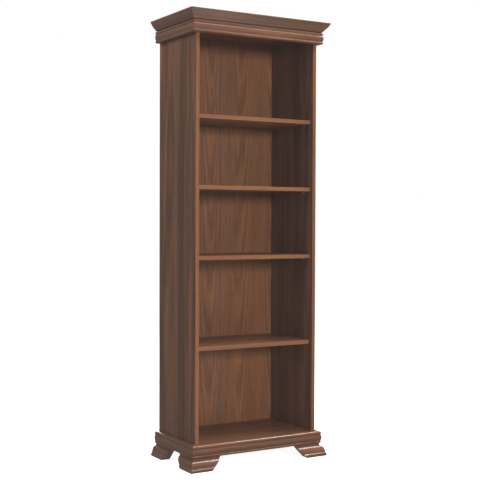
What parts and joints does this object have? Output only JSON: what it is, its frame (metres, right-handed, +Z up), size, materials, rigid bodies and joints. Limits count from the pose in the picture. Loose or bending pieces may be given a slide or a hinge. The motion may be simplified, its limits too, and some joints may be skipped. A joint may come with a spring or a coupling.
{
  "type": "bookcase with adjustable shelves",
  "caption": "Tall open-fronted wooden bookcase with height-adjustable shelves, a moulded crown and plinth, and bracket feet.",
  "frame": {"origin": "on the floor, under the centre of the whole object's outline", "axes": "+Z up; the open front faces -Y and the back faces +Y; +X to the right as seen from the front"},
  "size_m": [0.742, 0.418, 2.05],
  "materials": {
    "walnut_board": "satin walnut foil on particle board, vertical grain",
    "walnut_edging": "satin walnut edge band",
    "walnut_moulding": "semi-gloss walnut wrapped moulding, grain along the run",
    "hardboard_back": "printed walnut hardboard",
    "plain_timber": "plain unfinished timber",
    "beech_dowel": "fluted beech",
    "brown_plastic": "brown moulded plastic",
    "zinc_fitting": "zinc-plated fitting",
    "steel_hardware": "bright steel"
  },
  "bodies": {
    "carcass": {"back_joint_strip": "brown_plastic", "back_panel_nails": "steel_hardware", "bottom_board": "walnut_board", "cam_bolts": "zinc_fitting", "cam_locks": "zinc_fitting", "carcass_dowels": "beech_dowel", "crown_brace_screws": "steel_hardware", "crown_corner_braces": "steel_hardware", "crown_screws": "steel_hardware", "foot_glides": "brown_plastic", "foot_screws": "steel_hardware", "front_base_rail": "plain_timber", "front_crown_moulding": "walnut_moulding", "front_frieze_moulding": "walnut_moulding", "front_left_foot_block": "plain_timber", "front_left_foot_front": "walnut_moulding", "front_left_foot_side": "walnut_moulding", "front_plinth_moulding": "walnut_moulding", "front_right_foot_block": "plain_timber", "front_right_foot_front": "walnut_moulding", "front_right_foot_side": "walnut_moulding", "left_back_panel": "hardboard_back", "left_crown_moulding": "walnut_moulding", "left_frieze_moulding": "walnut_moulding", "left_plinth_moulding": "walnut_moulding", "left_side_front_edge": "walnut_edging", "left_side_panel": "walnut_board", "moulding_dowels": "beech_dowel", "rear_base_rail": "plain_timber", "rear_left_foot_block": "plain_timber", "rear_left_foot_side": "walnut_moulding", "rear_right_foot_block": "plain_timber", "rear_right_foot_side": "walnut_moulding", "right_back_panel": "hardboard_back", "right_crown_moulding": "walnut_moulding", "right_frieze_moulding": "walnut_moulding", "right_plinth_moulding": "walnut_moulding", "right_side_front_edge": "walnut_edging", "right_side_panel": "walnut_board", "top_board": "walnut_board", "wall_bracket_screws": "steel_hardware", "wall_brackets": "steel_hardware"},
    "shelf_1": {"shelf_1_board": "walnut_board", "shelf_1_front_edge": "walnut_edging", "shelf_1_supports": "zinc_fitting"},
    "shelf_2": {"shelf_2_board": "walnut_board", "shelf_2_front_edge": "walnut_edging", "shelf_2_supports": "zinc_fitting"},
    "shelf_3": {"shelf_3_board": "walnut_board", "shelf_3_front_edge": "walnut_edging", "shelf_3_supports": "zinc_fitting"},
    "shelf_4": {"shelf_4_board": "walnut_board", "shelf_4_front_edge": "walnut_edging", "shelf_4_supports": "zinc_fitting"}
  },
  "joints": [
    {"name": "shelf_1_height", "type": "slide", "parent": "carcass", "child": "shelf_1", "axis": [0, 0, 1], "range_m": [-0.096, 0.096]},
    {"name": "shelf_2_height", "type": "slide", "parent": "carcass", "child": "shelf_2", "axis": [0, 0, 1], "range_m": [-0.096, 0.096]},
    {"name": "shelf_3_height", "type": "slide", "parent": "carcass", "child": "shelf_3", "axis": [0, 0, 1], "range_m": [-0.096, 0.096]},
    {"name": "shelf_4_height", "type": "slide", "parent": "carcass", "child": "shelf_4", "axis": [0, 0, 1], "range_m": [-0.096, 0.096]}
  ]
}
